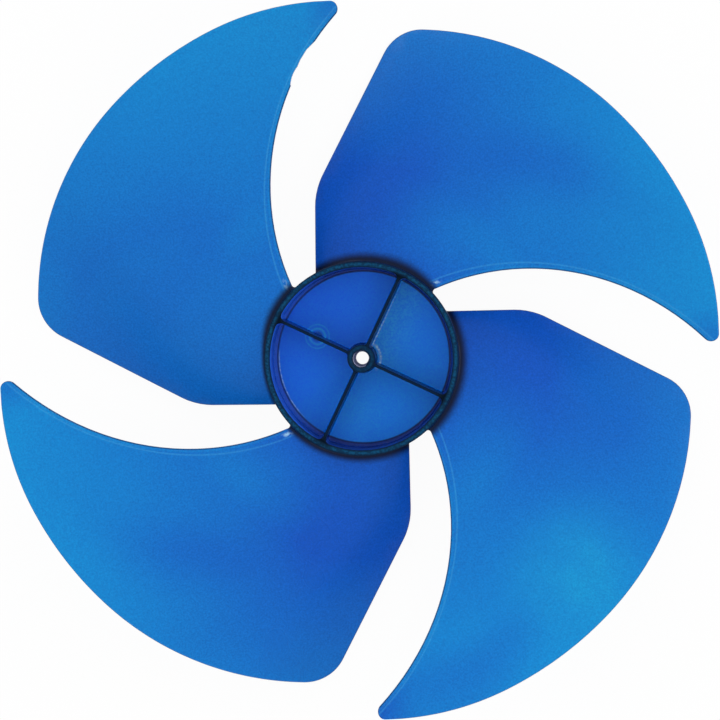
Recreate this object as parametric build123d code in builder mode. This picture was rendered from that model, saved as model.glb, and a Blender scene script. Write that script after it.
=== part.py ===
"""Axial fan impeller: a ribbed hub cup and four forward-swept blades, moulded in one piece.

All sizes are in millimetres. The origin is on the shaft axis, in the hub's closed end face. +Z runs
along the axis to the open, ribbed side of the hub, which is the side that the air comes in from.
Angles are counted from +X, round the axis. The impeller turns clockwise seen from +Z.
"""

import os
from math import cos, hypot, radians, sin

from build123d import *

# Hub cup
HUB_RADIUS = 47.6
HUB_HEIGHT = 22.0
RIM_WALL = 2.8
END_WALL = 3.0
HUB_EDGE_RADIUS = 1.2
RIM_EDGE_RADIUS = 0.35

# Boss and ribs, which leave four pockets in the cup
BOSS_RADIUS = 6.8
RIB_COUNT = 4
RIB_ANGLE = 65.0
RIB_THICKNESS = 1.5
RIB_DROP = 0.4
RIB_FILLET_AT_RIM = 2.6
RIB_FILLET_AT_BOSS = 1.6
POCKET_DRAFT = 1.0
POCKET_FLOOR_FILLET = 1.0

# Bore: a D for the shaft, its flat in line with one rib, then a round hole for the threaded shaft end
SHAFT_RADIUS = 4.05
SHAFT_FLAT = 3.5
SHAFT_FLAT_ANGLE = -25.0
SHAFT_DEPTH = 17.0
THREAD_END_RADIUS = 3.2

# Gate recess: a stepped ring in the closed end face, round the stub of the moulding gate
GATE_DISTANCE = 25.0
GATE_ANGLE = 152.5
GATE_OUTER_RADIUS = 6.4
GATE_INNER_RADIUS = 5.0
GATE_STUB_RADIUS = 3.3
GATE_STEP = 0.5

# Blade form: heights are above the hub's closed end face
BLADE_COUNT = 4
ROOT_THICKNESS = 2.8
TIP_THICKNESS = 1.9
TIP_RADIUS = 172.0
STACK_ANGLE = radians(75)
STACK_HEIGHT = 20.4
RAKE = 0.13
PITCH_AT_AXIS = 0.149
PITCH_GROWTH = 0.001665
CAMBER = 0.0755
ROOT_RADIUS = 46.4
ROOT_FILLET = 1.5

# Blade outline, seen along the axis
LEADING_RADIUS = 114.0
LEADING_ROOT = (32.9, 32.72)
LEADING_TIP = (169.0, 3.9)
TIP_ROUNDING = 3.6
TIP_SIDE = (169.0, 14.0)
TIP_ARC = (137.8, 24.2)
OUTER_ARC = (TIP_RADIUS, 20.5)
REAR_ARC = (144.8, 46.6)
CORNER_ROUNDING = 20.0
TRAILING_BEND = (-24.1, 83.7)
BEND_ROUNDING = 35.0
TRAILING_ROOT = (-23.2, 40.18)
EDGE_ROUNDING = 0.7

# Chip in one blade's leading edge, laid out on the first blade and turned to the one it is on
CHIP_BLADE_ANGLE = 90.0
CHIP_INNER_END = (131.3, 33.1)
CHIP_OUTER_END = (142.0, 27.2)
CHIP_RADIUS = 14.0

# Grid on which the blade's two surfaces are laid out, wider than the outline all round
GRID_RADII = [30 + 15 * i for i in range(11)]
GRID_ANGLES = [radians(-12 + 15 * i) for i in range(11)]
BLANK_BOTTOM = -40.0
BLANK_HEIGHT = 140.0


def blade_height(radius, angle, side):
    """Height of a blade's surface: rake along the stacking line, then pitch, camber and half the thickness.

    The side is 1 for the upper surface and -1 for the underside.
    """
    turn = angle - STACK_ANGLE
    pitch = PITCH_AT_AXIS + PITCH_GROWTH * radius
    outward = (radius - HUB_RADIUS) / (TIP_RADIUS - HUB_RADIUS)
    thickness = ROOT_THICKNESS + (TIP_THICKNESS - ROOT_THICKNESS) * outward
    return STACK_HEIGHT - RAKE * radius - radius * turn * (pitch + CAMBER * turn) + side * thickness / 2


def blade_surface(side):
    """A blade's upper surface or underside, laid out on the grid."""
    return Face.make_surface_from_array_of_points(
        [[(r * cos(a), r * sin(a), blade_height(r, a, side)) for a in GRID_ANGLES] for r in GRID_RADII]
    )


def is_outline_edge(edge):
    """Whether an edge runs along the blade's outline, clear of the hub."""
    middle = edge @ 0.5
    return hypot(middle.X, middle.Y) > HUB_RADIUS and edge.length > ROOT_THICKNESS


def is_pocket_floor(face):
    """Whether a face is the flat floor of one of the cup's pockets."""
    return face.geom_type == GeomType.PLANE and abs(face.center().Z - END_WALL) < 0.01


def is_root_edge(edge):
    """Whether an edge lies where a blade meets the hub's outer wall, which has one seam of its own."""
    on_wall = all(
        abs(hypot(point.X, point.Y) - HUB_RADIUS) < 0.01 and point.Z > HUB_EDGE_RADIUS + 0.1
        for point in (edge @ 0.1, edge @ 0.5, edge @ 0.9)
    )
    return on_wall and (edge.geom_type == GeomType.BSPLINE or edge.length < ROOT_THICKNESS)


with BuildPart() as blade:
    with BuildSketch(Plane.XY.offset(BLANK_BOTTOM)) as outline:
        with BuildLine():
            RadiusArc(LEADING_ROOT, LEADING_TIP, LEADING_RADIUS)
            Line(LEADING_TIP, TIP_SIDE)
            tip_arc = JernArc(TIP_SIDE, (0, 1), *TIP_ARC)
            outer_arc = JernArc(tip_arc @ 1, tip_arc % 1, *OUTER_ARC)
            rear_arc = JernArc(outer_arc @ 1, outer_arc % 1, *REAR_ARC)
            Polyline(rear_arc @ 1, TRAILING_BEND, TRAILING_ROOT)
            ThreePointArc(TRAILING_ROOT, (0, ROOT_RADIUS), LEADING_ROOT)
        make_face()
        for corner, radius in (
            (LEADING_TIP, TIP_ROUNDING),
            (rear_arc @ 1, CORNER_ROUNDING),
            (TRAILING_BEND, BEND_ROUNDING),
        ):
            fillet(outline.vertices().sort_by_distance(corner)[0], radius)
    extrude(amount=BLANK_HEIGHT)
    extrude(blade_surface(1), amount=BLANK_HEIGHT, dir=(0, 0, -1), mode=Mode.INTERSECT)
    extrude(blade_surface(-1), amount=BLANK_HEIGHT, dir=(0, 0, -1), mode=Mode.SUBTRACT)
    # the edges of the outline run smoothly into each other, so one fillet goes all the way round
    fillet(blade.edges().filter_by(is_outline_edge), EDGE_ROUNDING)


with BuildPart() as impeller:
    # hub: a solid disc with rounded edges, hollowed by the four pockets
    with BuildSketch(Plane.XZ):
        with BuildLine():
            Polyline((0, 0), (HUB_RADIUS, 0), (HUB_RADIUS, HUB_HEIGHT), (0, HUB_HEIGHT), close=True)
        make_face()
    revolve(axis=Axis.Z)
    fillet(impeller.edges().group_by(Axis.Z)[0], HUB_EDGE_RADIUS)

    with BuildSketch(Plane.XY.offset(HUB_HEIGHT)) as pockets:
        Circle(HUB_RADIUS - RIM_WALL)
        Circle(BOSS_RADIUS, mode=Mode.SUBTRACT)
        with PolarLocations(0, RIB_COUNT // 2, RIB_ANGLE, 180):
            Rectangle(2 * HUB_RADIUS, RIB_THICKNESS, mode=Mode.SUBTRACT)
        corners = pockets.vertices().sort_by(lambda v: hypot(v.X, v.Y))
        fillet(corners[-2 * RIB_COUNT :], RIB_FILLET_AT_RIM)
        corners = pockets.vertices().sort_by(lambda v: hypot(v.X, v.Y))
        fillet(corners[: 2 * RIB_COUNT], RIB_FILLET_AT_BOSS)
    extrude(amount=END_WALL - HUB_HEIGHT, taper=POCKET_DRAFT, mode=Mode.SUBTRACT)
    fillet(impeller.faces().filter_by(is_pocket_floor).edges(), POCKET_FLOOR_FILLET)

    # the rib tops stand a little below the rim and the boss
    with BuildSketch(Plane.XY.offset(HUB_HEIGHT)):
        Circle(HUB_RADIUS - RIM_WALL)
        Circle(BOSS_RADIUS, mode=Mode.SUBTRACT)
    extrude(amount=-RIB_DROP, mode=Mode.SUBTRACT)
    fillet(impeller.edges().group_by(Axis.Z)[-1], RIM_EDGE_RADIUS)

    # blades, then the fillets along their roots
    with PolarLocations(0, BLADE_COUNT):
        add(blade.part)
    fillet(impeller.edges().filter_by(is_root_edge), ROOT_FILLET)

    # wear: the chip in the second blade's leading edge
    with BuildSketch(Plane.XY.offset(BLANK_BOTTOM).rotated((0, 0, CHIP_BLADE_ANGLE))):
        with BuildLine():
            RadiusArc(CHIP_INNER_END, CHIP_OUTER_END, CHIP_RADIUS)
            Line(CHIP_OUTER_END, CHIP_INNER_END)
        make_face()
    extrude(amount=BLANK_HEIGHT, mode=Mode.SUBTRACT)

    # gate recess in the closed end face
    with BuildSketch(Plane.XY):
        with PolarLocations(GATE_DISTANCE, 1, GATE_ANGLE):
            Circle(GATE_OUTER_RADIUS)
            Circle(GATE_STUB_RADIUS, mode=Mode.SUBTRACT)
    extrude(amount=GATE_STEP, mode=Mode.SUBTRACT)
    with BuildSketch(Plane.XY):
        with PolarLocations(GATE_DISTANCE, 1, GATE_ANGLE):
            Circle(GATE_INNER_RADIUS)
            Circle(GATE_STUB_RADIUS, mode=Mode.SUBTRACT)
    extrude(amount=2 * GATE_STEP, mode=Mode.SUBTRACT)

    # bore: the shaft's D from the open side, then the round hole for its threaded end
    with BuildSketch(Plane.XY.offset(HUB_HEIGHT)):
        Circle(SHAFT_RADIUS)
        with Locations(Location((0, 0), SHAFT_FLAT_ANGLE)):
            with Locations((SHAFT_FLAT + SHAFT_RADIUS, 0)):
                Rectangle(2 * SHAFT_RADIUS, 2 * SHAFT_RADIUS, mode=Mode.SUBTRACT)
    extrude(amount=-SHAFT_DEPTH, mode=Mode.SUBTRACT)
    with Locations((0, 0, HUB_HEIGHT)):
        Hole(THREAD_END_RADIUS)

impeller.part.label = "impeller"
os.makedirs("parts", exist_ok=True)
export_step(impeller.part, "parts/impeller.step")
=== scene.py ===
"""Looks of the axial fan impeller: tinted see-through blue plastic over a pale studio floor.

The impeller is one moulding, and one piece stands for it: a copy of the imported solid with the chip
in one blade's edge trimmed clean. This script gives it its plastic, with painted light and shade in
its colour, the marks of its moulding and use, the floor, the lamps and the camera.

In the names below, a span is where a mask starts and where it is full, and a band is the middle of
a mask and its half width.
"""

import math

import bmesh
import bpy
from mathutils import Matrix, Vector


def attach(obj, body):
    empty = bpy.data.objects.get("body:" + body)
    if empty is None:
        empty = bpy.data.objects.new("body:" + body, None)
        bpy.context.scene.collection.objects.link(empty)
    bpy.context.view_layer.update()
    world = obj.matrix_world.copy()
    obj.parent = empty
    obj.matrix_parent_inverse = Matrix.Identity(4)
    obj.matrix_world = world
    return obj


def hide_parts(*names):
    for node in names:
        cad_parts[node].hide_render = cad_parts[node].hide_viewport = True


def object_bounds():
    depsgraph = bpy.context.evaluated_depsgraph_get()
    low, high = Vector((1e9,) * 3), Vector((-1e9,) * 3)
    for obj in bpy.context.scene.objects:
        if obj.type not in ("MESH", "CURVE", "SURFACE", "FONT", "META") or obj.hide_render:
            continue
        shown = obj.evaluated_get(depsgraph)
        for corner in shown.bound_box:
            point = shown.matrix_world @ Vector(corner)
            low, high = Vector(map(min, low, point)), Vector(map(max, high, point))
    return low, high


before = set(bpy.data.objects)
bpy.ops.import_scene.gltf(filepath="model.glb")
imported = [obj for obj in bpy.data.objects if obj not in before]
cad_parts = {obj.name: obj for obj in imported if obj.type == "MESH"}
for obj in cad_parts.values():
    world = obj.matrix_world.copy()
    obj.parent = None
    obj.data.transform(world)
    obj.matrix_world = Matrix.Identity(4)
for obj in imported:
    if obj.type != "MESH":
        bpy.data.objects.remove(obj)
cad_lo, cad_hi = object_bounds()

MM = 0.001
DEGREE = math.radians(1.0)
IMPELLER = "impeller"

# Hub sizes, in metres, that the plastic's zones follow
HUB_RADIUS = 47.6 * MM
HUB_HEIGHT = 22.0 * MM
FLOOR_TOP = 3.0 * MM
BORE_RADIUS = 4.05 * MM
HUB_SPAN = (HUB_RADIUS + 0.2 * MM, HUB_RADIUS - 0.2 * MM)
RIB_ANGLE = 65.0 * DEGREE
RIB_PITCH = 90.0 * DEGREE

# Leading edge of the first blade, an arc in plan, and the front corner of its tip; the tones of a
# blade start a small turn before that edge
BLADE_PITCH = 90.0 * DEGREE
TIP_RADIUS = 172.0 * MM
TIP_PLACE = (167.0 * MM, 6.0 * MM)
EDGE_CENTRE = (82.24 * MM, -70.05 * MM)
EDGE_RADIUS = 114.0 * MM
EDGE_AZIMUTH_AT_AXIS = 61.2 * DEGREE
EDGE_AZIMUTH_PER_METRE = 355.0 * DEGREE
TURN_BEFORE_EDGE = 6.0 * DEGREE

# The chip in the second blade's leading edge: the ends of the solid's own short cut, and the outline
# of the whole chip, measured along from the inner end and into the blade
CHIP_INNER_END = (-33.1 * MM, 131.3 * MM)
CHIP_OUTER_END = (-27.2 * MM, 142.0 * MM)
CHIP_OUTLINE = (
    (0.15 * MM, 0.05 * MM),
    (8.5 * MM, 1.0 * MM),
    (12.9 * MM, 1.2 * MM),
    (18.4 * MM, 0.6 * MM),
    (25.4 * MM, -1.9 * MM),
    (25.4 * MM, -3.2 * MM),
    (12.0 * MM, -1.6 * MM),
    (0.15 * MM, -1.0 * MM),
)
WELD_DISTANCE = 0.001 * MM
SHARP_ANGLE = 32.0 * DEGREE

# Camera: an almost square view into the open side of the hub
CAMERA_DISTANCE = 1.2
CAMERA_TURN = Matrix.Rotation(0.0264, 3, "X") @ Matrix.Rotation(-0.0354, 3, "Y")
CAMERA_OFFSET = Vector((0.577 * MM, 0.583 * MM, -CAMERA_DISTANCE))
CAMERA_LENS = 122.7
CAMERA_SENSOR = 36.0
CAMERA_NEAR = 0.05
CAMERA_FAR = 50.0

# Room: floor, even light, and lamps by name, azimuth and height above the horizon in degrees,
# distance, width and height in metres, and watts
FLOOR_SIZE = 12.0
FLOOR_GAP = 0.2 * MM
FLOOR_WHITE_SHARE = 0.95
PAPER_SCALE = 6.0
WORLD_LEVEL = 0.95
LAMPS = (
    ("key", 22, 24, 1.4, 0.45, 0.16, 3.2),
    ("back", 125, 22, 1.4, 0.3, 0.14, 1.6),
    ("low", 260, 22, 1.4, 0.3, 0.14, 1.2),
)


class Nodes:
    """A short hand for building one material's or world's node tree."""

    def __init__(self, owner):
        owner.use_nodes = True
        self.tree = owner.node_tree
        self.tree.nodes.clear()

    def add(self, kind, inputs=None, **settings):
        node = self.tree.nodes.new(kind)
        for name, value in settings.items():
            setattr(node, name, value)
        for name, value in (inputs or {}).items():
            socket = node.inputs[name]
            if isinstance(value, bpy.types.NodeSocket):
                self.tree.links.new(value, socket)
            else:
                socket.default_value = value
        return node

    def math(self, operation, a, b=0.0, c=0.0, clamp=False):
        inputs = {0: a, 1: b, 2: c}
        return self.add("ShaderNodeMath", inputs, operation=operation, use_clamp=clamp).outputs[0]

    def less(self, a, b):
        return self.math("SUBTRACT", a, b)

    def times(self, first, *others):
        """The product of some values."""
        for other in others:
            first = self.math("MULTIPLY", first, other)
        return first

    def most(self, first, *others):
        """The largest of some values."""
        for other in others:
            first = self.math("MAXIMUM", first, other)
        return first

    def plus_share(self, base, value, share):
        """The base and a share of the value together."""
        return self.math("MULTIPLY_ADD", value, share, base)

    def outside(self, mask):
        """1 where a mask is 0, and 0 where it is 1."""
        return self.less(1.0, mask)

    def span(self, value, start, end, smooth=True):
        """0 where the value is at start, 1 where it is at end, and evenly between."""
        return self.add(
            "ShaderNodeMapRange",
            {"Value": value, "From Min": start, "From Max": end},
            interpolation_type="SMOOTHSTEP" if smooth else "LINEAR",
        ).outputs["Result"]

    def band(self, value, middle, half_width):
        """1 on the middle value, falling to 0 a half width to either side."""
        away = self.math("ABSOLUTE", self.less(value, middle))
        return self.span(away, half_width, 0.0)

    def toward(self, azimuth, direction):
        """The cosine of the angle between an azimuth and a direction: 1 that way, and -1 the other."""
        return self.math("COSINE", self.less(azimuth, direction))

    def distance(self, x, y, place):
        """The distance in plan from one place, in metres."""
        across = self.less(x, place[0])
        along = self.less(y, place[1])
        return self.math("SQRT", self.math("MULTIPLY_ADD", across, across, self.times(along, along)))

    def mix(self, factor, a, b, blend="MIX"):
        inputs = {"Factor": factor, 6: a, 7: b}
        return self.add("ShaderNodeMix", inputs, data_type="RGBA", blend_type=blend).outputs[2]

    def lay(self, tint, mask, tone, strength=1.0):
        """A tint with a tone laid over it, where a mask says."""
        return self.mix(self.times(mask, strength), tint, tone)

    def noise(self, position, scale, detail=3.0):
        inputs = {"Vector": position, "Scale": scale, "Detail": detail, "Roughness": 0.5}
        return self.add("ShaderNodeTexNoise", inputs).outputs["Fac"]


class OnPart:
    """Where a shaded point lies on the part."""

    def __init__(self, n):
        self.position = n.add("ShaderNodeTexCoord").outputs["Object"]
        self.x, self.y, self.z = n.add("ShaderNodeSeparateXYZ", {0: self.position}).outputs
        self.radius = n.distance(self.x, self.y, (0.0, 0.0))
        self.azimuth = n.math("ARCTAN2", self.y, self.x)
        self.in_hub = n.span(self.radius, *HUB_SPAN)
        self.turn_from_rib = n.math("PINGPONG", n.less(self.azimuth, RIB_ANGLE), RIB_PITCH / 2)


class OnBlade:
    """A point's turn back from its blade's leading edge, its depth inside that edge, its distance
    from the front corner of the blade's tip, and masks for the blades that differ."""

    def __init__(self, n, at):
        edge_azimuth = n.less(EDGE_AZIMUTH_AT_AXIS, n.times(at.radius, EDGE_AZIMUTH_PER_METRE))
        start = n.less(edge_azimuth, TURN_BEFORE_EDGE)
        round_hub = n.math("FLOORED_MODULO", n.less(at.azimuth, start), math.tau)
        index = n.math("FLOOR", n.math("DIVIDE", round_hub, BLADE_PITCH))
        turn = n.math("FLOORED_MODULO", round_hub, BLADE_PITCH)
        azimuth = n.math("ADD", turn, start)
        first_x = n.times(at.radius, n.math("COSINE", azimuth))
        first_y = n.times(at.radius, n.math("SINE", azimuth))
        self.turn = n.less(turn, TURN_BEFORE_EDGE)
        self.depth = n.less(n.distance(first_x, first_y, EDGE_CENTRE), EDGE_RADIUS)
        self.from_tip = n.distance(first_x, first_y, TIP_PLACE)
        self.second = n.math("COMPARE", index, 1.0, 0.5)
        self.fourth = n.math("COMPARE", index, 3.0, 0.5)


def colour(red, green, blue):
    """A display colour, 0 to 255, as the linear colour that a shader takes."""

    def linear(level):
        share = level / 255
        return share / 12.92 if share <= 0.04045 else ((share + 0.055) / 1.055) ** 2.4

    return (linear(red), linear(green), linear(blue), 1.0)


# Blade tones: how pale the blue is, from 0 to 1, by the radius and by the turn from the leading edge;
# partly the plastic thinning out, partly painted light coming through and painted shade
DEEP_BLUE = colour(12, 86, 194)
PALE_BLUE = colour(12, 144, 216)
SCUFFED_BLUE = colour(20, 158, 214)
OUTWARD_SPAN = (95 * MM, TIP_RADIUS + 4 * MM)
OUTWARD_SHARE = 0.56
FORWARD_SPAN = (66 * DEGREE, 30 * DEGREE)
FORWARD_SHARE = 0.4
FRONT_SPAN = (54 * DEGREE, 6 * DEGREE)
FRONT_INNER_SPAN = (45 * MM, 82 * MM)
FRONT_OUTER_SPAN = (176 * MM, 88 * MM)
FRONT_SHARE = 0.5
SECOND_BLADE_LEAST = 0.34
LANE_TURN_BAND = (32 * DEGREE, 18 * DEGREE)
LANE_RADIUS_BAND = (132 * MM, 34 * MM)
LANE_SHARE = 0.22
DARK_TIP_TURN_SPAN = (32 * DEGREE, 16 * DEGREE)
DARK_TIP_RADIUS_SPAN = (136 * MM, 160 * MM)
DARK_TIP_SHARE = 0.38
TIP_CORNER_SPAN = (24 * MM, 3 * MM)
TIP_CORNER_SHARE = 0.42
CLOUD_SCALE = 14.0
CLOUD_SHARE = 0.3
SCUFF_PLACE = (108 * MM, -106 * MM)
SCUFF_SPAN = (48 * MM, 6 * MM)
SCUFF_SCALE = 40.0
SCUFF_STRENGTH = 0.9


def blade_tones_and_painted_light(n, at, blade, cloud):
    """Deep blue in the middle and by the trailing side, paler along the front and towards the tip, as
    painted light and shade over the plastic's own thinning.
    """
    outward = n.span(at.radius, *OUTWARD_SPAN, smooth=False)
    forward = n.plus_share(OUTWARD_SHARE, n.span(blade.turn, *FORWARD_SPAN), FORWARD_SHARE)
    front = n.times(
        n.span(at.radius, *FRONT_INNER_SPAN, smooth=False),
        n.span(at.radius, *FRONT_OUTER_SPAN, smooth=False),
        n.span(blade.turn, *FRONT_SPAN),
    )
    pale = n.plus_share(n.times(outward, forward), front, FRONT_SHARE)

    # painted light and shade that differ from blade to blade: one blade is paler over its inner half, two
    # have a darker lane and one a darker tip
    pale = n.most(pale, n.times(blade.second, SECOND_BLADE_LEAST))
    lane = n.times(n.band(blade.turn, *LANE_TURN_BAND), n.band(at.radius, *LANE_RADIUS_BAND))
    lane = n.times(lane, n.outside(n.most(blade.second, blade.fourth)), LANE_SHARE)
    tip = n.times(n.span(blade.turn, *DARK_TIP_TURN_SPAN), n.span(at.radius, *DARK_TIP_RADIUS_SPAN))
    tip = n.times(tip, blade.fourth, DARK_TIP_SHARE)
    corner = n.times(n.span(blade.from_tip, *TIP_CORNER_SPAN), TIP_CORNER_SHARE)
    for darker in (lane, tip, corner):
        pale = n.less(pale, darker)
    unevenness = n.times(n.less(cloud, 0.5), CLOUD_SHARE)
    pale = n.math("ADD", pale, unevenness, clamp=True)
    tint = n.mix(pale, DEEP_BLUE, PALE_BLUE)

    scuffed = n.span(n.distance(at.x, at.y, SCUFF_PLACE), *SCUFF_SPAN)
    scuffed = n.times(scuffed, n.noise(at.position, SCUFF_SCALE, 4.0), blade.fourth)
    return n.lay(tint, scuffed, SCUFFED_BLUE, SCUFF_STRENGTH)


# Leading edge: painted highlights, a paler roll and a fainter line inside it, and small painted glints by
# the hub
ROLL_HIGHLIGHT_BLUE = colour(30, 150, 220)
LINE_HIGHLIGHT_BLUE = colour(70, 175, 230)
GLINT_WHITE = colour(170, 220, 250)
ON_BLADE_SPAN = (HUB_RADIUS + 1 * MM, HUB_RADIUS + 4 * MM)
ROLL_SPAN = (2.2 * MM, 0.8 * MM)
ROLL_STRENGTH = 0.25
LINE_FIRST_RADIUS = 55 * MM
LINE_LAST_RADIUS = 120 * MM
LINE_FIRST_DEPTH = 4.2 * MM
LINE_LAST_DEPTH = 2.2 * MM
LINE_HALF_WIDTH = 0.7 * MM
LINE_STRENGTH = 0.28
GLINT_DEPTH_BAND = (2.6 * MM, 1.5 * MM)
GLINT_RADIUS_BAND = (51.8 * MM, 3.6 * MM)
GLINT_SCALE = 500.0
GLINT_NOISE_SPAN = (0.42, 0.6)
GLINT_STRENGTH = 0.8


def leading_edge_highlights(n, at, blade, tint):
    """The painted highlights and glints along each blade's leading edge; the line closes up to the edge
    away from the hub.
    """
    on_blade = n.span(at.radius, *ON_BLADE_SPAN)
    roll = n.times(n.span(blade.depth, *ROLL_SPAN), on_blade)
    tint = n.lay(tint, roll, ROLL_HIGHLIGHT_BLUE, ROLL_STRENGTH)

    line_depth = n.add(
        "ShaderNodeMapRange",
        {
            "Value": at.radius,
            "From Min": LINE_FIRST_RADIUS,
            "From Max": LINE_LAST_RADIUS,
            "To Min": LINE_FIRST_DEPTH,
            "To Max": LINE_LAST_DEPTH,
        },
    ).outputs["Result"]
    line = n.times(n.band(n.less(blade.depth, line_depth), 0.0, LINE_HALF_WIDTH), on_blade)
    tint = n.lay(tint, line, LINE_HIGHLIGHT_BLUE, LINE_STRENGTH)

    # painted glints: white spots by the hub, on every blade but the fourth
    glint = n.times(n.band(blade.depth, *GLINT_DEPTH_BAND), n.band(at.radius, *GLINT_RADIUS_BAND))
    glint = n.times(glint, n.span(n.noise(at.position, GLINT_SCALE, 2.0), *GLINT_NOISE_SPAN))
    return n.lay(tint, n.times(glint, n.outside(blade.fourth)), GLINT_WHITE, GLINT_STRENGTH)


# Rounded edges all round the blades, darkened with painted shade by how far a face is turned from level
# and by the edge's depth
ROUND_EDGE_SHADE_TEAL = colour(0, 58, 104)
LEVEL_SPAN = (0.82, 0.6)
ROUND_DEPTH_SPAN = (0.75 * MM, 0.3 * MM)
ROUND_RADIUS_SPAN = (50 * MM, 54 * MM)
ROUND_EDGE_STRENGTH = 0.8


def rounded_edge_shade(n, at, blade, tint):
    """A thin dark teal line of painted shade round each blade."""
    normal = n.add("ShaderNodeTexCoord").outputs["Normal"]
    upward = n.add("ShaderNodeSeparateXYZ", {0: normal}).outputs[2]
    rounded = n.span(n.math("ABSOLUTE", upward), *LEVEL_SPAN)
    rounded = n.most(rounded, n.span(blade.depth, *ROUND_DEPTH_SPAN))
    rounded = n.times(rounded, n.span(at.radius, *ROUND_RADIUS_SPAN))
    return n.lay(tint, rounded, ROUND_EDGE_SHADE_TEAL, ROUND_EDGE_STRENGTH)


# Cup floor: it glows with the light from below it, and the foot of the wall stands a little off centre
LOW_SPAN = (FLOOR_TOP + 3.0 * MM, FLOOR_TOP + 0.4 * MM)
FOOT_CENTRE = (0.6 * MM, 0.4 * MM)
FOOT_RADIUS = 42.4 * MM
PAST_BOSS_SPAN = (-4 * MM, 4 * MM)
SPECKLE_SCALE = 900.0
SPECKLE_NOISE_SPAN = (0.35, 0.65)
GLOW_DEEP = colour(20, 118, 254)
GLOW_PALE = colour(20, 140, 255)
GLOW_DIRECTION = -50 * DEGREE
BESIDE_RIB_BLUE = colour(50, 176, 255)
BESIDE_RIB_FAR_SPAN = (26 * MM, 2 * MM)
BESIDE_RIB_NEAR_SPAN = (-0.5 * MM, 0.5 * MM)
BESIDE_RIB_LEAST = 0.2
BESIDE_RIB_SPECKLE = 0.5
LOW_POCKET_BLUE = colour(30, 150, 250)
LOW_POCKET_PLACE = (-2 * MM, -27 * MM)
LOW_POCKET_SPAN = (17 * MM, 3 * MM)
LOW_POCKET_LEAST = 0.3
LOW_POCKET_SPECKLE = 0.4


class InCup:
    """Where a point lies in the hub's cup: on its floor, across and along from one rib, and out from
    the middle of the foot of its wall."""

    def __init__(self, n, at):
        low = n.span(at.z, *LOW_SPAN)
        self.on_floor = n.times(at.in_hub, low)
        self.above_floor = n.outside(low)
        self.foot = n.distance(at.x, at.y, FOOT_CENTRE)
        across = (math.sin(RIB_ANGLE), math.cos(RIB_ANGLE))
        self.from_rib = n.less(n.times(at.x, across[0]), n.times(at.y, across[1]))
        along_rib = n.math("ADD", n.times(at.x, across[1]), n.times(at.y, across[0]))
        self.past_boss = n.span(along_rib, *PAST_BOSS_SPAN)
        self.speckle = n.span(n.noise(at.position, SPECKLE_SCALE, 2.0), *SPECKLE_NOISE_SPAN)


def cup_floor(n, at, cup, tint):
    """The thin floor's glow, uneven from pocket to pocket and brightest beside one rib."""
    side = n.math("MULTIPLY_ADD", n.toward(at.azimuth, GLOW_DIRECTION), 0.5, 0.5)
    glow = n.mix(side, GLOW_DEEP, GLOW_PALE)
    beside = n.span(cup.from_rib, *BESIDE_RIB_FAR_SPAN)
    beside = n.times(beside, n.span(cup.from_rib, *BESIDE_RIB_NEAR_SPAN), cup.past_boss)
    beside = n.times(beside, n.plus_share(BESIDE_RIB_LEAST, cup.speckle, BESIDE_RIB_SPECKLE))
    glow = n.lay(glow, beside, BESIDE_RIB_BLUE)
    pocket = n.span(n.distance(at.x, at.y, LOW_POCKET_PLACE), *LOW_POCKET_SPAN)
    pocket = n.times(pocket, n.plus_share(LOW_POCKET_LEAST, cup.speckle, LOW_POCKET_SPECKLE))
    glow = n.lay(glow, pocket, LOW_POCKET_BLUE)
    return n.lay(tint, cup.on_floor, glow)


# Cup walls: blue on the side that is lit and darker on the other, over a dark line of painted shade at
# their foot, and painted shade on the sides of the ribs and boss
WALL_DARK = colour(24, 60, 152)
WALL_LIT = colour(42, 104, 226)
WALL_LIT_DIRECTION = 180 * DEGREE
WALL_LIT_SPAN = (0.3, 0.85)
INSIDE_FOOT_SPAN = (FOOT_RADIUS + 0.5 * MM, FOOT_RADIUS - 0.1 * MM)
RIB_SIDE_SHADE_BLUE = colour(4, 30, 84)
RIB_SIDE_SPAN = (1.5 * MM, 1.0 * MM)
BOSS_SIDE_SPAN = (8.0 * MM, 7.2 * MM)
RIB_END_SPAN = (HUB_RADIUS - 2.6 * MM, HUB_RADIUS - 4 * MM)
RIB_SIDE_STRENGTH = 0.85
FOOT_SHADE_BLUE = colour(2, 14, 60)
FOOT_LINE_BAND = (FOOT_RADIUS + 0.3 * MM, 0.8 * MM)
FOOT_LINE_STRENGTH = 0.8


def cup_walls(n, at, cup, tint):
    """The walls' blue, which runs out over the edge of the floor, and the dark lines of painted shade."""
    wall = n.most(cup.above_floor, n.outside(n.span(cup.foot, *INSIDE_FOOT_SPAN)))
    lit = n.span(n.toward(at.azimuth, WALL_LIT_DIRECTION), *WALL_LIT_SPAN)
    tint = n.lay(tint, n.times(at.in_hub, wall), n.mix(lit, WALL_DARK, WALL_LIT))
    from_nearest_rib = n.times(at.radius, n.math("SINE", at.turn_from_rib))
    rib_side_shade = n.most(n.span(from_nearest_rib, *RIB_SIDE_SPAN), n.span(at.radius, *BOSS_SIDE_SPAN))
    rib_side_shade = n.times(rib_side_shade, n.span(at.radius, *RIB_END_SPAN))
    tint = n.lay(tint, rib_side_shade, RIB_SIDE_SHADE_BLUE, RIB_SIDE_STRENGTH)
    foot_shade = n.times(n.band(cup.foot, *FOOT_LINE_BAND), cup.on_floor)
    return n.lay(tint, foot_shade, FOOT_SHADE_BLUE, FOOT_LINE_STRENGTH)


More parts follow.
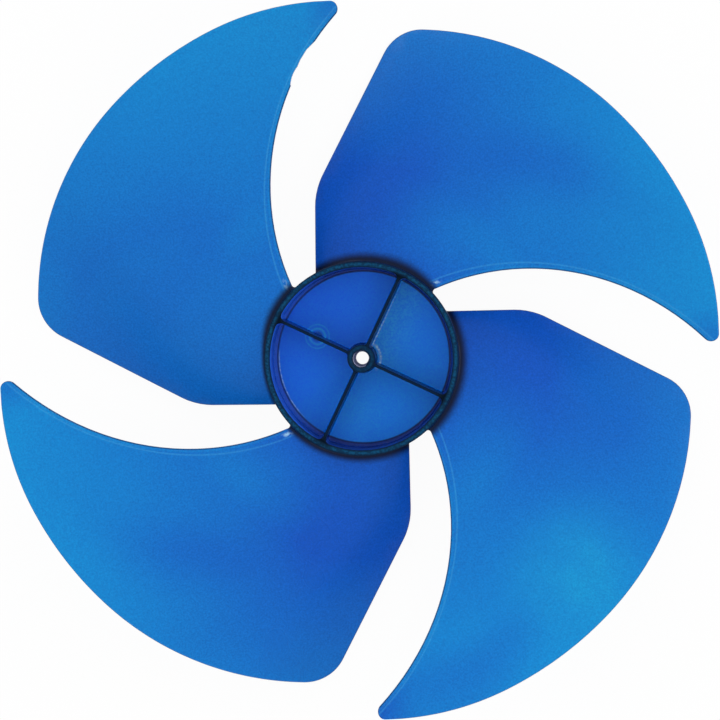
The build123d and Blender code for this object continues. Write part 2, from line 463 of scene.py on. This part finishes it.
# Painted glints in the cup: highlights along the foot of a rib, by the boss and low on the wall
CUP_GLINT_WHITE = colour(190, 232, 255)
CATCH_LEAST = 0.25
CATCH_SPECKLE = 0.75
RIB_CATCH_BAND = (1.9 * MM, 0.5 * MM)
RIB_CATCH_SPAN = (44 * MM, 10 * MM)
BOSS_CATCH_BAND = (9.0 * MM, 1.0 * MM)
BOSS_CATCH_DIRECTION = 5 * DEGREE
BOSS_CATCH_SPAN = (0.6, 0.9)
WALL_CATCH_BAND = (FOOT_RADIUS - 0.4 * MM, 0.4 * MM)
WALL_CATCH_DIRECTION = 200 * DEGREE
WALL_CATCH_SPAN = (0.88, 0.97)
WALL_CATCH_SHARE = 0.8


def cup_painted_glints(n, at, cup, tint):
    """Painted glints along one rib's foot, by the boss and low on the wall."""
    rib_foot = n.times(n.band(cup.from_rib, *RIB_CATCH_BAND), n.span(at.radius, *RIB_CATCH_SPAN))
    boss_side = n.span(n.toward(at.azimuth, BOSS_CATCH_DIRECTION), *BOSS_CATCH_SPAN)
    wall_side = n.span(n.toward(at.azimuth, WALL_CATCH_DIRECTION), *WALL_CATCH_SPAN)
    glints_in_cup = n.most(
        n.times(rib_foot, cup.past_boss),
        n.times(n.band(at.radius, *BOSS_CATCH_BAND), boss_side),
        n.times(n.band(cup.foot, *WALL_CATCH_BAND), wall_side, WALL_CATCH_SHARE),
    )
    broken = n.plus_share(CATCH_LEAST, cup.speckle, CATCH_SPECKLE)
    return n.lay(tint, n.times(glints_in_cup, broken, cup.on_floor), CUP_GLINT_WHITE)


# Gate mark, seen through the cup's floor: a faint outer ring, a bright one and a dark middle
GATE_PLACE = (-22.4 * MM, 10.6 * MM)
GATE_RING_BLUE = colour(40, 172, 255)
GATE_CORE_BLUE = colour(8, 50, 130)
GATE_OUTER_BAND = (5.9 * MM, 0.6 * MM)
GATE_OUTER_SHARE = 0.7
GATE_INNER_BAND = (3.9 * MM, 0.9 * MM)
GATE_CORE_SPAN = (2.9 * MM, 2.0 * MM)
GATE_CORE_STRENGTH = 0.6


def gate_mark(n, at, cup, tint):
    from_gate = n.distance(at.x, at.y, GATE_PLACE)
    outer = n.times(n.band(from_gate, *GATE_OUTER_BAND), GATE_OUTER_SHARE)
    rings = n.times(n.most(outer, n.band(from_gate, *GATE_INNER_BAND)), cup.on_floor)
    tint = n.lay(tint, rings, GATE_RING_BLUE)
    core = n.times(n.span(from_gate, *GATE_CORE_SPAN), cup.on_floor)
    return n.lay(tint, core, GATE_CORE_BLUE, GATE_CORE_STRENGTH)


# Painted shade at the roots of the blades: its width round the hub swells evenly to one side and again to
# another
ROOT_SHADE_BLUE = colour(0, 12, 40)
ROOT_WIDTH = 4.6 * MM
ROOT_SIDE_DIRECTION = -25 * DEGREE
ROOT_SIDE_WIDTH = 1.9 * MM
ROOT_SWELL_DIRECTION = 110 * DEGREE
ROOT_SWELL_SPAN = (0.35, 0.75)
ROOT_SWELL_WIDTH = 2.6 * MM
ROOT_SHARE_SPAN = (1.0, 0.2)
ROOT_STRENGTH = 0.97


def blade_root_shade(n, at, tint):
    """Painted shade where the blades run into the hub's outer wall."""
    width = n.plus_share(ROOT_WIDTH, n.toward(at.azimuth, ROOT_SIDE_DIRECTION), ROOT_SIDE_WIDTH)
    swell = n.span(n.toward(at.azimuth, ROOT_SWELL_DIRECTION), *ROOT_SWELL_SPAN)
    width = n.plus_share(width, swell, ROOT_SWELL_WIDTH)
    root = n.span(n.math("DIVIDE", n.less(at.radius, HUB_RADIUS), width), *ROOT_SHARE_SPAN)
    return n.lay(tint, n.times(root, n.outside(at.in_hub)), ROOT_SHADE_BLUE, ROOT_STRENGTH)


# Grain of the plastic, and painted light on the bore's wall and shoulder, pale grey for the light that
# comes through the hole
BLACK = colour(0, 0, 0)
WHITE = colour(255, 255, 255)
GRAIN_SCALE = 1100.0
GRAIN_NOISE_SPAN = (0.25, 0.75)
GRAIN_SHARE = 0.2
BORE_LIT_GREY = colour(196, 200, 228)
BORE_SPAN = (BORE_RADIUS + 0.1 * MM, BORE_RADIUS)
BORE_HEIGHT_SPAN = (HUB_HEIGHT, HUB_HEIGHT - 0.3 * MM)


def grain_and_lit_bore(n, at, grain, tint):
    tint = n.mix(GRAIN_SHARE, tint, n.mix(grain, BLACK, WHITE), "OVERLAY")
    # painted light: the bore's wall and shoulder pale grey, as lit through the hole
    in_bore = n.times(n.span(at.radius, *BORE_SPAN), n.span(at.z, *BORE_HEIGHT_SPAN))
    return n.lay(tint, in_bore, BORE_LIT_GREY)


# Gloss: satin faces, with the polish left on the rolled edges and in the cup's corners
SATIN_ROUGHNESS = 0.24
CLOUD_ROUGHNESS = 0.1
POLISH_ROUGHNESS = -0.14
POLISH_DEPTH_SPAN = (2.4 * MM, 1.2 * MM)
CORNER_FOOT_SPAN = (FLOOR_TOP + 0.02 * MM, FLOOR_TOP + 0.1 * MM)
CORNER_HEAD_SPAN = (FLOOR_TOP + 3 * MM, FLOOR_TOP + 2 * MM)
BUMP_STRENGTH = 0.1
BUMP_HEIGHT = 0.2 * MM


def satin_roughness(n, at, blade, cloud):
    edge = n.times(n.span(blade.depth, *POLISH_DEPTH_SPAN), n.outside(at.in_hub))
    corner = n.times(n.span(at.z, *CORNER_FOOT_SPAN), n.span(at.z, *CORNER_HEAD_SPAN), at.in_hub)
    satin = n.plus_share(SATIN_ROUGHNESS, cloud, CLOUD_ROUGHNESS)
    return n.plus_share(satin, n.most(edge, corner), POLISH_ROUGHNESS)


def impeller_plastic():
    """The tinted plastic, with the tones of the blades and the cup, much of them painted light and shade,
    laid one over another.
    """
    material = bpy.data.materials.new("blue_plastic")
    n = Nodes(material)
    at = OnPart(n)
    blade = OnBlade(n, at)
    cup = InCup(n, at)
    cloud = n.noise(at.position, CLOUD_SCALE, 2.0)
    grain = n.span(n.noise(at.position, GRAIN_SCALE, 2.0), *GRAIN_NOISE_SPAN, smooth=False)
    tint = blade_tones_and_painted_light(n, at, blade, cloud)
    tint = leading_edge_highlights(n, at, blade, tint)
    tint = rounded_edge_shade(n, at, blade, tint)
    tint = cup_floor(n, at, cup, tint)
    tint = cup_walls(n, at, cup, tint)
    tint = cup_painted_glints(n, at, cup, tint)
    tint = gate_mark(n, at, cup, tint)
    tint = blade_root_shade(n, at, tint)
    tint = grain_and_lit_bore(n, at, grain, tint)
    bump = {"Strength": BUMP_STRENGTH, "Distance": BUMP_HEIGHT, "Height": grain}
    plastic = n.add(
        "ShaderNodeBsdfPrincipled",
        {
            "Base Color": tint,
            "Roughness": satin_roughness(n, at, blade, cloud),
            "IOR": 1.49,
            "Transmission Weight": 0.15,
            "Specular IOR Level": 0.06,
            "Normal": n.add("ShaderNodeBump", bump).outputs[0],
        },
    )
    n.add("ShaderNodeOutputMaterial", {"Surface": plastic.outputs[0]})
    return material


# The same plastic seen end on, through the whole depth of the rim, ribs and boss: a darker copy, painted
# shade for the little light that gets through, with painted highlights
END_ON_SHADE = colour(4, 28, 54)
END_ON_HIGHLIGHT_TEAL = colour(12, 74, 112)
END_ON_SCALE = 850.0
END_ON_NOISE_SPAN = (0.38, 0.62)
END_ON_LEAST = 0.3
END_ON_SPECKLE = 0.7
RIM_MIDDLE_BAND = (HUB_RADIUS - 1.35 * MM, 1.5 * MM)
BOSS_MIDDLE_BAND = (5.4 * MM, 1.4 * MM)
BOSS_MIDDLE_SHARE = 0.5
KNOT_SHADE_BLUE = colour(1, 14, 26)
KNOT_TURN_SPAN = (8 * DEGREE, 3 * DEGREE)
KNOT_RADIUS_BAND = (43.9 * MM, 4.2 * MM)
KNOT_STRENGTH = 0.8


def end_on_shaded_plastic():
    """Near black as painted shade, with a teal middle to the rim and boss as a painted highlight on their
    rounded tops, broken by speckle, and darker knots of painted shade where the ribs meet the rim.
    """
    material = bpy.data.materials.new("blue_plastic_end_on")
    n = Nodes(material)
    at = OnPart(n)
    speckle = n.span(n.noise(at.position, END_ON_SCALE), *END_ON_NOISE_SPAN)
    boss = n.times(n.band(at.radius, *BOSS_MIDDLE_BAND), BOSS_MIDDLE_SHARE)
    middle = n.most(n.band(at.radius, *RIM_MIDDLE_BAND), boss)
    teal_highlight = n.times(middle, n.plus_share(END_ON_LEAST, speckle, END_ON_SPECKLE))
    tint = n.mix(teal_highlight, END_ON_SHADE, END_ON_HIGHLIGHT_TEAL)
    knot_shade = n.times(n.span(at.turn_from_rib, *KNOT_TURN_SPAN), n.band(at.radius, *KNOT_RADIUS_BAND))
    tint = n.lay(tint, knot_shade, KNOT_SHADE_BLUE, KNOT_STRENGTH)
    plastic = n.add(
        "ShaderNodeBsdfPrincipled",
        {"Base Color": tint, "Roughness": 0.45, "IOR": 1.49, "Specular IOR Level": 0.05},
    )
    n.add("ShaderNodeOutputMaterial", {"Surface": plastic.outputs[0]})
    return material


def add_object(name, data):
    """A new object in the scene, at the origin."""
    thing = bpy.data.objects.new(name, data)
    bpy.context.scene.collection.objects.link(thing)
    return thing


def chip_trimmer():
    """An upright prism over the chip: it gives the chip its full length and takes the thin film off
    its open side."""
    inner = Vector(CHIP_INNER_END)
    along = (Vector(CHIP_OUTER_END) - inner).normalized()
    inward = Vector((-along.y, along.x))
    plan = [inner + along * reach + inward * depth for reach, depth in CHIP_OUTLINE]
    count = len(plan)
    corners = [(p.x, p.y, level) for level in (cad_lo.z, cad_hi.z) for p in plan]
    sides = [tuple(range(count)), tuple(range(count, 2 * count))]
    sides += [(i, (i + 1) % count, (i + 1) % count + count, i + count) for i in range(count)]
    mesh = bpy.data.meshes.new("chip_trimmer")
    mesh.from_pydata(corners, [], sides)
    form = bmesh.new()
    form.from_mesh(mesh)
    bmesh.ops.recalc_face_normals(form, faces=form.faces)
    form.to_mesh(mesh)
    form.free()
    return add_object("chip_trimmer", mesh)


def trim_impeller():
    """The impeller as packed, with its corners welded and the chip trimmed."""
    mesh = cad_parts[IMPELLER].data.copy()
    form = bmesh.new()
    form.from_mesh(mesh)
    bmesh.ops.remove_doubles(form, verts=form.verts, dist=WELD_DISTANCE)
    form.to_mesh(mesh)
    form.free()
    piece = add_object("impeller_moulding", mesh)
    trimmer = chip_trimmer()
    cut = piece.modifiers.new("chip", "BOOLEAN")
    cut.operation = "DIFFERENCE"
    cut.solver = "EXACT"
    cut.object = trimmer
    result = piece.evaluated_get(bpy.context.evaluated_depsgraph_get())
    trimmed = bpy.data.meshes.new_from_object(result)
    piece.modifiers.clear()
    piece.data = trimmed
    bpy.data.objects.remove(trimmer)
    trimmed.shade_smooth()
    trimmed.set_sharp_from_angle(angle=SHARP_ANGLE)
    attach(piece, "root")
    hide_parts(IMPELLER)
    return piece


# Faces that are seen end on: those on top of the hub's rim, ribs and boss; they take the darker copy of
# the plastic with its painted shade
END_ON_RADIUS = HUB_RADIUS + 0.1 * MM
END_ON_HEIGHT = HUB_HEIGHT - 0.6 * MM


def dress(piece):
    """The two looks of the plastic, face by face: the second is a darker copy with painted shade and
    highlights.
    """
    mesh = piece.data
    mesh.materials.clear()
    mesh.materials.append(impeller_plastic())
    mesh.materials.append(end_on_shaded_plastic())
    for face in mesh.polygons:
        centre = face.center
        on_hub = math.hypot(centre.x, centre.y) < END_ON_RADIUS
        face.material_index = 1 if on_hub and centre.z > END_ON_HEIGHT else 0


def seen_share(n, share):
    """The share of white shown to the camera and in reflections, and none of it lighting the object."""
    path = n.add("ShaderNodeLightPath").outputs
    seen = n.most(path["Is Camera Ray"], path["Is Glossy Ray"], path["Is Transmission Ray"])
    return n.times(seen, share)


def lay_floor():
    """A white floor under the hub's closed end: white to the camera, with the object's soft shadow."""
    half = FLOOR_SIZE / 2
    height = cad_lo.z - FLOOR_GAP
    mesh = bpy.data.meshes.new("studio_floor")
    corners = [(-half, -half, height), (half, -half, height), (half, half, height), (-half, half, height)]
    mesh.from_pydata(corners, [], [(0, 1, 2, 3)])
    floor = add_object("studio_floor", mesh)
    material = bpy.data.materials.new("studio_floor")
    n = Nodes(material)
    position = n.add("ShaderNodeTexCoord").outputs["Object"]
    paper = n.mix(n.noise(position, PAPER_SCALE), colour(238, 238, 238), colour(246, 246, 246))
    diffuse = n.add("ShaderNodeBsdfDiffuse", {"Color": paper}).outputs[0]
    white = n.add("ShaderNodeEmission", {"Color": WHITE, "Strength": 1.0}).outputs[0]
    mixed = {0: seen_share(n, FLOOR_WHITE_SHARE), 1: diffuse, 2: white}
    surface = n.add("ShaderNodeMixShader", mixed).outputs[0]
    n.add("ShaderNodeOutputMaterial", {"Surface": surface})
    mesh.materials.append(material)


def light_room():
    """An even white room, pure white where it is seen, and three soft lamps."""
    world = bpy.data.worlds.new("studio")
    bpy.context.scene.world = world
    n = Nodes(world)
    light = n.add("ShaderNodeBackground", {"Color": WHITE, "Strength": WORLD_LEVEL}).outputs[0]
    shown = n.add("ShaderNodeBackground", {"Color": WHITE, "Strength": 1.0}).outputs[0]
    surface = n.add("ShaderNodeMixShader", {0: seen_share(n, 1.0), 1: light, 2: shown}).outputs[0]
    n.add("ShaderNodeOutputWorld", {"Surface": surface})
    for name, azimuth, height, away, width, tall, power in LAMPS:
        data = bpy.data.lights.new(name, "AREA")
        data.shape = "RECTANGLE"
        data.size = width
        data.size_y = tall
        data.energy = power
        lamp = add_object(name, data)
        around = Matrix.Rotation(math.radians(azimuth), 3, "Z")
        upward = Matrix.Rotation(math.radians(-height), 3, "Y")
        place = around @ (upward @ Vector((away, 0.0, 0.0)))
        lamp.location = place
        lamp.rotation_euler = place.to_track_quat("Z", "Y").to_euler()


def place_camera():
    """The camera over the open side of the hub, turned a little off the axis as the photograph's is."""
    data = bpy.data.cameras.new("camera")
    data.lens = CAMERA_LENS
    data.sensor_width = CAMERA_SENSOR
    data.clip_start = CAMERA_NEAR
    data.clip_end = CAMERA_FAR
    camera = add_object("camera", data)
    back = CAMERA_TURN.transposed()
    place = Vector((0.0, 0.0, HUB_HEIGHT)) - back @ CAMERA_OFFSET
    camera.matrix_world = Matrix.Translation(place) @ back.to_4x4()
    bpy.context.scene.camera = camera


dress(trim_impeller())
lay_floor()
light_room()
place_camera()
bpy.context.scene.view_settings.view_transform = "Standard"
